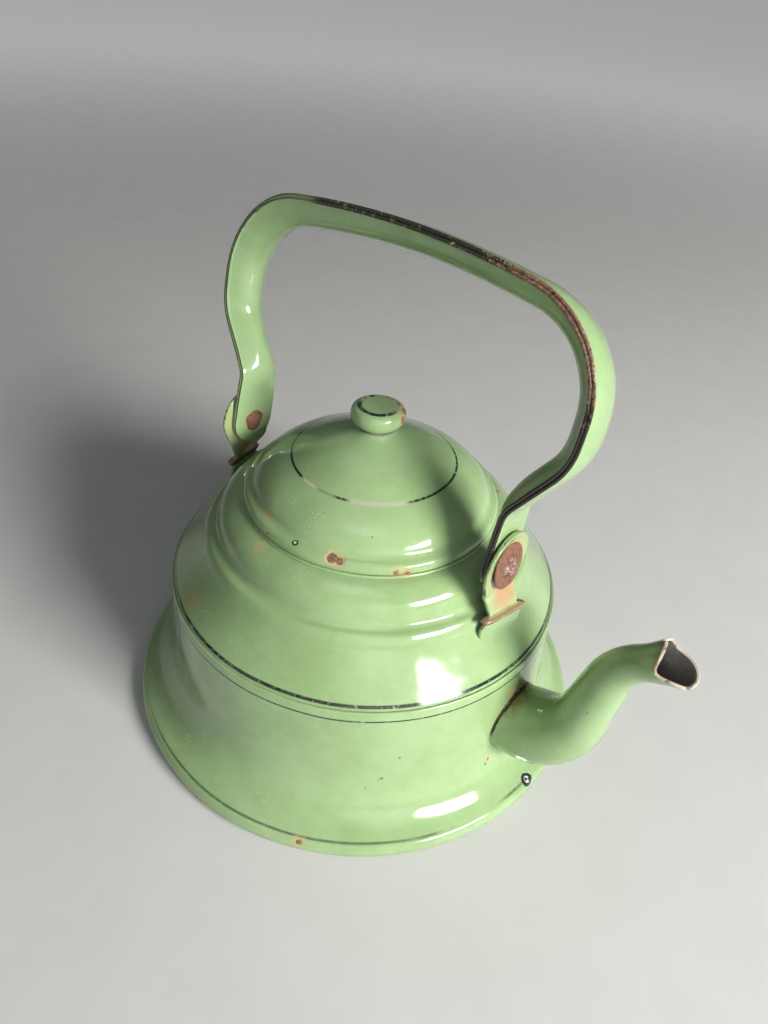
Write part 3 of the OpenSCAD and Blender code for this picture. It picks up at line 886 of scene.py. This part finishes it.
def spout_half(name, node, hand):
    m = 2 * SPOUT_STEPS + 2
    end = spout_run[-1]
    # run, inset of both faces and extra reach of each ring; the last two round the lip
    rings = [(s, 0.0, 0.0) for s in spout_run] + [(end, 0.3, 0.22), (end, 0.3, 0.42)]
    first = cut_run - LIP_ZONE
    points, along = [], []
    for s, inset, extra in rings:
        share = s / end
        ro = look_up(share, spout_taper)
        for k in range(m):
            out = k <= SPOUT_STEPS
            w = pi * (k if out else m - 1 - k) / SPOUT_STEPS
            r = ro - inset if out else ro - SHEET + inset
            if out:
                r += SEAM * exp(-(sin(w) * r / 1.2) ** 2)
            stretch = (lip_reach(w, hand) - first) / (end - first)
            place = s if s <= first else first + (s - first) * stretch
            x, y, z = spout_point(place + extra, r, w)
            y *= hand
            # the root stays inside the wall's sheet
            skin = np.interp(z, wall_path[6:, 1], wall_path[6:, 0]) - 0.7
            if s < 20 and hypot(x, y) < skin:
                x = sqrt(max(skin ** 2 - y ** 2, 0))
            points.append((x, y, z))
            along.append(share if extra == 0 else 1.01)
    faces, side_count = skin_faces(len(rings), m)
    outer = [f[0] % m < SPOUT_STEPS or f[0] // m >= len(spout_run) - 1 for f in faces[:side_count]]
    slots = [0 if o else 1 for o in outer] + [0] * (len(faces) - side_count)
    return make(name, np.array(points), faces, "body", node, [spout_enamel, inside], slots,
                sharp=50, floats={"along": along})


spout_half("spout_left", "spout_left_half", 1)
spout_half("spout_right", "spout_right_half", -1)

# hole in the wall behind the spout
drill = bpy.data.meshes.new("drill")
tool = bmesh.new()
hole_r = (BELLY_R - 2.6) * MM
root_place = (Matrix.Translation((WALL_R * MM, 0, ROOT_H * MM))
              @ Matrix.Rotation(radians(90), 4, "Y"))
bmesh.ops.create_cone(tool, cap_ends=True, segments=64, radius1=hole_r, radius2=hole_r,
                      depth=24 * MM, matrix=root_place)
tool.to_mesh(drill)
tool.free()
drill_object = add_object("drill", drill)
cut = wall.modifiers.new("spout_hole", "BOOLEAN")
cut.operation = "DIFFERENCE"
cut.solver = "EXACT"
cut.object = drill_object
evaluated = wall.evaluated_get(bpy.context.evaluated_depsgraph_get())
pierced = bpy.data.meshes.new_from_object(evaluated)
wall.modifiers.clear()
wall.data = pierced
bpy.data.objects.remove(drill_object)

# ---------- ribbons: ears and handle strips ----------

ACROSS = np.concatenate([[-1, -0.985, -0.95], np.linspace(-0.88, 0.88, 11), [0.95, 0.985, 1]])


def ribbon(name, stations, body, node, material, finish):
    """Strip along stations of (middle, normal, half width, top face, bottom face, along, twist).
    top and bottom give the height of the two faces over the middle line at each place across."""
    m = 2 * len(ACROSS)
    points, across, along = [], [], []
    for middle, normal, half, top, bottom, where, twist in stations:
        for k in range(m):
            first = k < len(ACROSS)
            v = ACROSS[k] if first else ACROSS[m - 1 - k]
            high, low = top(v), bottom(v)
            centre, thick = (high + low) / 2, (high - low) / 2
            soft = 0.45 if abs(v) > 0.99 else 0.85 if abs(v) > 0.97 else 1.0
            high = centre + thick * soft * (1 if first else -1)
            reach = (v + 1) * half
            h = high * cos(twist) - reach * sin(twist)
            y = reach * cos(twist) + high * sin(twist) - half
            points.append((middle[0] + h * normal[0], y, middle[1] + h * normal[1]))
            across.append(abs(v))
            along.append(where)
    faces, _ = skin_faces(len(stations), m)
    return make(name, finish(np.array(points)), faces, body, node, [material], sharp=70,
                floats={"across": across, "along": along})


EAR_T = 1.5             # thickness of the ear plate
HEAD_R = 13.0           # radius of the ear's round head
NECK_W = 13.4           # at the fold
NECK_TOP = 5.5          # how far below the pivot the head narrows into the neck
FOOT_W = 20.0           # width of the foot
FOOT_CORNER = 3.0       # radius of the foot's corners
ear_x = washer_low.x - EAR_T / 2  # middle of the ear plate at its head
EAR_STEP = 3.6          # how far the fold stands out from the head
DISH = 0.9              # how far the head's rim stands out
SLANT_Z = washer_low.z - 1.5  # below it the plate slants out to the fold
FOOT_LOW_Z = WALL_H + 13.5
FOOT_TURN = 0.20        # slope of the foot out of the plate, across the ear
BEAD_W = 20.5           # width of the bead along the fold
BEAD_H = 1.7            # height of the bead over the plate
foot_z = np.linspace(FOOT_LOW_Z, FOLD_Z - 2.5, 7)
shoulder_up = shoulder_curve[shoulder_curve[:, 0] > SKIRT_R - 16][:, ::-1]  # (z, r)
foot_x = np.maximum(look_up(foot_z, shoulder_up) - 0.4, ear_x - EAR_T / 2 + EAR_STEP)
ear_line = smooth(np.vstack([
    np.stack([foot_x + EAR_T / 2, foot_z], 1),
    [(ear_x + EAR_STEP, FOLD_Z - 1.0), (ear_x + EAR_STEP, FOLD_Z + 0.9),
     (ear_x + EAR_STEP - 0.4, FOLD_Z + 2.4), (ear_x + 0.35, SLANT_Z - 1.0),
     (ear_x, SLANT_Z + 1.2)]]), 7)
head_z = np.concatenate([np.linspace(SLANT_Z + 2.4, PIVOT_Z + 6, 14),
                         PIVOT_Z + (HEAD_R - 0.02) * np.sin(np.radians(np.linspace(30, 90, 16)))])
ear_line = join(ear_line, np.stack([np.full(len(head_z), ear_x), head_z], 1))


def ear(name, node, side):
    normals = sides(ear_line)
    shoulder_half = sqrt(HEAD_R ** 2 - NECK_TOP ** 2)
    steps = lengths(ear_line)
    stations = []
    for p, n, s in zip(ear_line, normals, steps):
        neck = float(np.interp(p[1], (FOLD_Z + 2, PIVOT_Z - NECK_TOP), (NECK_W / 2, shoulder_half)))
        neck += (FOOT_W / 2 - neck) * float(ease(-p[1], -FOLD_Z - 1, -FOLD_Z + 5))
        corner = sqrt(max(0.0, 1 - (1 - min(s, FOOT_CORNER) / FOOT_CORNER) ** 2))
        bead = exp(-((p[1] - FOLD_Z - 0.2) / 1.15) ** 4)
        foot = neck - FOOT_CORNER * (1 - corner)
        foot += (BEAD_W / 2 - foot) * bead
        rise = p[1] - PIVOT_Z
        disc = sqrt(max(HEAD_R ** 2 - rise ** 2, 0.0)) if abs(rise) < HEAD_R else 0.0
        half = disc if rise > -NECK_TOP else foot
        swell = BEAD_H * bead
        stations.append((p, n, max(half, 0.3),
                         lambda v, k=swell: EAR_T / 2 + k * (1 - 0.5 * abs(v) ** 8),
                         lambda v: -EAR_T / 2, s, 0.0))

    def shape(points):
        out = points.copy()
        reach = np.hypot(points[:, 1], points[:, 2] - PIVOT_Z)
        head = ease(points[:, 2], PIVOT_Z - 12, PIVOT_Z - 6)
        out[:, 0] += DISH * ease(reach, 8.5, HEAD_R) * head
        turned = FOOT_TURN * (1 - ease(points[:, 2], FOLD_Z + 2, FOLD_Z + 9))
        out[:, 0] += turned * points[:, 1]
        out[:, 1] += PIVOT_Y
        # the foot is bent round the shoulder where it lies on it
        surface = look_up(points[:, 2], shoulder_up) + 0.08
        inside_by = surface - np.hypot(out[:, 0], out[:, 1])
        out[:, 0] += np.where(points[:, 2] < FOLD_Z + 1, np.maximum(inside_by, 0), 0)
        out[:, 0] *= side
        return out

    return ribbon(name, stations, "body", node, ear_enamel, shape)


ear("ear_front", "front_ear", 1)
ear("ear_rear", "rear_ear", -1)

# ---------- handle ----------

PLAY = 0.15             # end play of the handle on its rivets
PIVOT_X = rivet_low.x + RIVET_HEAD_H + STRIP + PLAY  # handle's middle line at its pivots
TAB_W = 20.0            # width at the pivots
STRIP_W = 17.8          # width between the tabs
CROWN = 9.0             # full thickness over both strips
OUTER_SHARE = 0.15      # the outer strip is nearly flat, the inner one is round
TWIST = 14              # degrees, at the middle of the top
HEAD_CLEAR = 7          # height over the pivot where the inner strip starts to bulge
EAR_CLEAR = HEAD_R + 1.5  # height over the pivot where the outer strip starts to bulge
CROWN_FULL = 32         # height over the pivot where the section is full
FLAT = 0.01             # half the gap between the two strips
LEAN = 12               # degrees, at rest
WAIST_A = 56            # heading where the handle runs outwards above its tab
TOP_A = 172             # heading at the start of the top
BOW = 0.25              # sideways waviness of the top

tab_line = run((PIVOT_X, 0), 90, 18.5, 10)
waist_1 = bend(tab_line[-1], 90, WAIST_A, 10.5, 10)
waist_2 = run(waist_1[-1], WAIST_A, 18, 10)
waist_3 = bend(waist_2[-1], WAIST_A, 90, 25, 12)
side_line = run(waist_3[-1], 90, 6, 4)
corner_line = bend(side_line[-1], 90, TOP_A, 35.5, 30)
top_r = corner_line[-1][0] / sin(radians(180 - TOP_A))
top_line = bend(corner_line[-1], TOP_A, 180, top_r, 20)
half_line = join([(PIVOT_X, 0)], tab_line, waist_1, waist_2, waist_3, side_line, corner_line,
                 top_line)
mirrored = half_line[::-1][1:] * np.array([-1, 1])
bail_line = np.vstack([half_line, mirrored])
bail_run = lengths(bail_line)
bail_run -= bail_run[-1] / 2

# share of the twist against the run from the middle of the top, front leg first
twist_curve = smooth([(-105, 0), (-75, 0.45), (-45, 0.93), (0, 1), (45, 1.55), (72, 1.75),
                      (98, 0.9), (130, 0)], 8)


def strip_profile(out, crown):
    """Heights of a strip's two faces across its width; the flanges stay flat."""
    def dome(v):
        return crown * max(0.0, 1 - (abs(v) / 0.93) ** 2)
    if out > 0:
        return (lambda v: dome(v) + STRIP), (lambda v: dome(v) + FLAT)
    return (lambda v: -dome(v) - FLAT), (lambda v: -dome(v) - STRIP)


def strip(name, node, out):
    normals = sides(bail_line)
    stations = []

    def station(p, n, half, where):
        start = EAR_CLEAR if out > 0 else HEAD_CLEAR
        share = OUTER_SHARE if out > 0 else 1 - OUTER_SHARE
        crown = (CROWN - 2 * STRIP) * share * float(ease(p[1], start, CROWN_FULL))
        top, bottom = strip_profile(out, crown)
        turn = float(look_up(-where, twist_curve))
        return (p, n, half, top, bottom, where, radians(TWIST) * turn)

    r = TAB_W / 2

    def round_end(i, angles):
        for a in np.radians(angles):
            x = bail_line[i][0]
            stations.append(station((x, -r * sin(a)), normals[i], r * cos(a), -bail_run[i]))

    end_angles = np.linspace(88, 8, 12)
    round_end(0, end_angles)
    for p, n, s in zip(bail_line, normals, bail_run):
        half = r + (STRIP_W - TAB_W) / 2 * float(ease(p[1], HEAD_CLEAR, CROWN_FULL))
        stations.append(station(p, n, half, -s))
    round_end(-1, end_angles[::-1])

    lean = np.array(Matrix.Rotation(radians(-LEAN), 3, "X"))

    def place(points):
        moved = points.copy()
        moved[:, 1] += BOW * np.sin(points[:, 0] / 23 + 0.6) * ease(points[:, 2], 20, 50)
        return moved @ lean.T + PIVOT

    return ribbon(name, stations, "handle", node, handle_enamel, place)


strip("handle_outer", "handle_outer_shell", 1)
strip("handle_inner", "handle_inner_shell", -1)

# ---------- rivets and washers ----------

WASHER_TILT = 8.0       # degrees: the lower rim stands off the ear
WASHER_LIFT = 0.75      # lift of the tilted washer off the ear
RIVET_R = 3.0
PEEN_R, PEEN_H = 5.2, 2.7  # hammered end of the rivet
HEAD_DOME_R = 5.0       # rivet's head inside the handle


def tilt(points):
    """Lean of the washer and the peened end about the pivot."""
    a = radians(WASHER_TILT)
    moved = points.copy()
    x = points[:, 0] - washer_low.x
    moved[:, 0] = washer_low.x + x * cos(a) - points[:, 2] * sin(a) + WASHER_LIFT
    moved[:, 2] = points[:, 2] * cos(a) + x * sin(a)
    return moved


def lumps(points, amount, size, seed):
    """Uneven, hammered surface."""
    rng = np.random.default_rng(seed)
    total = np.zeros(len(points))
    for k in range(7):
        d = rng.normal(size=3)
        d /= norm(d)
        total += np.sin(points @ d / size * (1 + 0.35 * k) + rng.uniform(0, 6.28))
    return amount * total / 4


def dome_points(r, h, steps, rings, seed, rough):
    """Low dome on x = 0 that stands towards +x, as a grid of rings."""
    ball = (r * r + h * h) / (2 * h)
    out = []
    for i in range(rings + 1):
        a = asin(min(1, r / ball)) * (1 - i / rings)
        reach = ball * sin(a)
        out += [(ball * cos(a) - ball + h, reach * c, reach * d) for c, d in circle(steps)]
    p = np.array(out)
    swell = lumps(p, rough, 1.4, seed) * ease(p[:, 0], -0.1, 0.8)
    p[:, 0] += np.minimum(swell, 0.0)
    angle = np.arctan2(p[:, 2], p[:, 1])
    spread = 1 + 0.06 * np.sin(angle * 3 + seed) + 0.04 * np.sin(angle * 5 + 2 * seed)
    p[:, 1:] *= (spread * 0.93)[:, None]
    return p


def rivet(name, node, side, seed):
    steps, rings = 40, 10
    peen = dome_points(PEEN_R, PEEN_H, steps, rings, seed, 0.8)
    peen[:, 0] += washer_high.x - 0.1
    peen = tilt(peen)
    head = dome_points(HEAD_DOME_R, RIVET_HEAD_H, steps, rings, seed + 5, 0.18)
    head[:, 0] = rivet_low.x + RIVET_HEAD_H - head[:, 0]
    shaft = [(x, RIVET_R * c, RIVET_R * d)
             for x in (rivet_low.x + RIVET_HEAD_H, washer_high.x - 0.4) for c, d in circle(steps)]
    points = np.vstack([head[::-1], shaft, peen])
    rows = len(points) // steps
    # the head's rings run backwards, so turn them to match the others
    grid = points.reshape(rows, steps, 3)
    grid[:rings + 1] = grid[:rings + 1, ::-1]
    faces = grid_faces(rows, steps, False, True)
    faces.append(tuple(range(steps - 1, -1, -1)))
    faces.append(tuple((rows - 1) * steps + k for k in range(steps)))
    points = grid.reshape(-1, 3) + PIVOT
    rubbed = np.clip((points[:, 0] - washer_high.x - 0.7) / 0.9, 0, 1)
    points[:, 0] *= side
    return make(name, points, faces, "body", node, [steel],
                floats={"rubbed": rubbed})


def washer(name, node, side, seed):
    """Dished plain washer with a worn rim."""
    r = washer_high.z - PIVOT_Z
    t = washer_high.x - washer_low.x
    outline_points = [(RIVET_R, 0), (r - 0.5, 0), (r - 0.1, 0.25), (r, 0.55), (r - 0.15, 0.85),
                      (r - 0.6, t * 0.86), (r - 1.6, t * 0.80), (r - 3.0, t * 0.78),
                      (5.4, t * 0.9), (RIVET_R, t)]
    steps = 72
    points = []
    for k in range(steps):
        w = 2 * pi * k / steps
        worn = 0.18 * (1 + sin(4 * w + seed)) / 2 + 0.10 * (1 + sin(9 * w + 2 * seed)) / 2
        for radius, x in outline_points:
            rr = radius - worn * (radius / r) ** 6
            points.append((washer_low.x + x, rr * cos(w), rr * sin(w)))
    points = np.array(points)
    pits = np.minimum(lumps(points, 0.16, 1.7, seed), 0) * (points[:, 0] > washer_low.x + 0.5)
    points[:, 0] += pits
    points = tilt(points) + PIVOT
    points[:, 0] *= side
    faces = grid_faces(steps, len(outline_points), True, True)
    return make(name, points, faces, "body", node, [steel],
                floats={"rubbed": np.zeros(len(points))})


rivet("rivet_front", "front_rivet", 1, 3)
rivet("rivet_rear", "rear_rivet", -1, 8)
washer("washer_front", "front_washer", 1, 2)
washer("washer_rear", "rear_washer", -1, 6)

# ---------- lid ----------

NECK_KNOB_R = 6.6       # radius of the drawn neck under the knob
lid_path = smooth(
    offset(LID_R, LID_Z, (-0.9, 0), (0.1, 1.4), (0, 3.4), (-1.0, 4.8), (-2.7, 5.7), (-3.9, 6.8),
           (-5.2, 9.0), (-8.0, 12.1), (-12.6, 15.3), (-18.5, 18.4))
    + offset(0, LID_Z, (25, 22.3), (18, 25.6), (12, 28.2), (8.6, 29.8))
    + [(NECK_KNOB_R + 0.3, LID_Z + 31.3), (NECK_KNOB_R, KNOB_Z)], 6)
spin("lid", sheet_outline(lid_path, SHEET), "lid", "lid_shell", [lid_enamel, inside])

collar_path = join([(COLLAR_R, z) for z in (collar_low.z, collar_low.z + 4, collar_high.z)])
spin("collar", sheet_outline(collar_path, 1.0), "lid", "lid_collar", [inside], uneven=False)

knob_h = KNOB_TOP - KNOB_Z
knob_path = smooth(
    [(NECK_KNOB_R, KNOB_Z)]
    + [(KNOB_R - d, KNOB_Z + share * knob_h) for d, share in (
        (2, 0.10), (0.4, 0.32), (0, 0.60), (0.7, 0.85), (2.4, 0.98), (4, 1))]
    + [(0, KNOB_Z + knob_h)], 7)
spin("knob", sheet_outline(knob_path, 1.0, round_end=False), "lid", "lid_knob", [knob_enamel],
     steps=96, uneven=False)

# ---------- studio ----------

SPAN = 40.0             # half the floor's width, in metres
FLOOR_TONE = (0.55, 0.55, 0.54)


def floor_surface():
    """Plain pale floor. Its far part glows a little for the camera only, like a lit backdrop."""
    s = Shader("floor_surface")
    paler = tuple(c * 1.03 for c in FLOOR_TONE)
    tone = s.mix(s.patches(0.3, 0.7, 30, 3), FLOOR_TONE, paler)
    glow = s.both(s.step(s.radius, 450, 2100, 0.0, 0.55), s.camera_ray())
    return s.finish(tone, 0.9, s.bump(s.noise(1.2, 3), 0.08, 0.1),
                    Emission_Color=tone, Emission_Strength=glow)


floor_mesh = bpy.data.meshes.new("floor")
square = [(-SPAN, -SPAN, 0), (SPAN, -SPAN, 0), (SPAN, SPAN, 0), (-SPAN, SPAN, 0)]
floor_mesh.from_pydata(square, [], [(0, 1, 2, 3)])
floor_mesh.materials.append(floor_surface())
add_object("floor", floor_mesh)


def fade_edges(data, start):
    """Let a light's panel fade from start (0 in the middle) to its edges (0.5)."""
    data.use_nodes = True
    t = Tree(data.node_tree)
    place = t.add("ShaderNodeNewGeometry").outputs["Parametric"]
    across, up, _ = t.add("ShaderNodeSeparateXYZ", {0: place}).outputs
    shares = [t.fall(t.math("ABSOLUTE", t.minus(v, 0.5)), start, 0.5) for v in (across, up)]
    glow = [n for n in data.node_tree.nodes if n.type == "EMISSION"][0]
    t.put(glow.inputs["Strength"], t.both(*shares))


def area_light(name, azimuth, elevation, distance, size, watts, colour, fade=0.26):
    """Soft light that faces the kettle from an azimuth (from +X) and elevation in degrees."""
    data = bpy.data.lights.new(name, "AREA")
    data.shape = "RECTANGLE"
    data.size, data.size_y = size
    data.energy = watts
    data.color = colour
    fade_edges(data, fade)
    lamp = add_object(name, data)
    a, e = radians(azimuth), radians(elevation)
    towards = Vector((cos(a) * cos(e), sin(a) * cos(e), sin(e)))
    lamp.location = Vector((0, 0, 0.08)) + towards * distance
    lamp.rotation_euler = (towards * distance).to_track_quat("Z", "Y").to_euler()


area_light("window", -4, 24, 1.5, (0.80, 0.36), 72, (1.0, 0.98, 0.95))
area_light("curtain", -36, 22, 1.9, (2.4, 1.5), 19, (0.84, 0.96, 1.0), fade=0.02)
area_light("sky", -62, 66, 2.2, (1.6, 1.2), 12, (0.97, 0.99, 1.0), fade=0.05)
area_light("side", -150, 30, 2.4, (1.2, 1.6), 1.2, (1.0, 0.93, 0.84))

world = bpy.data.worlds.new("studio")
world.use_nodes = True
sky = Tree(world.node_tree)
background = world.node_tree.nodes["Background"]
background.inputs["Color"].default_value = (0.72, 0.74, 0.76, 1)
# paler for the camera than as a light
sky.put(background.inputs["Strength"], sky.step(sky.camera_ray(), 0.0, 1.0, 0.12, 0.50))
scene.world = world
scene.view_settings.view_transform = "Standard"

# ---------- camera: the photograph's viewing angle ----------

camera_data = bpy.data.cameras.new("camera")
camera_data.sensor_width = 36  # millimetres, like the focal length
camera_data.lens = 27.07
camera_data.clip_start = 0.01
camera = add_object("camera", camera_data)
camera.location = (0.1557, -0.1969, 0.2853)
YAW, PITCH, ROLL = 37.0, 37.5, 5.8
camera.rotation_euler = (Matrix.Rotation(radians(YAW), 3, "Z")
                         @ Matrix.Rotation(radians(90 - PITCH), 3, "X")
                         @ Matrix.Rotation(radians(ROLL), 3, "Z")).to_euler()
scene.camera = camera
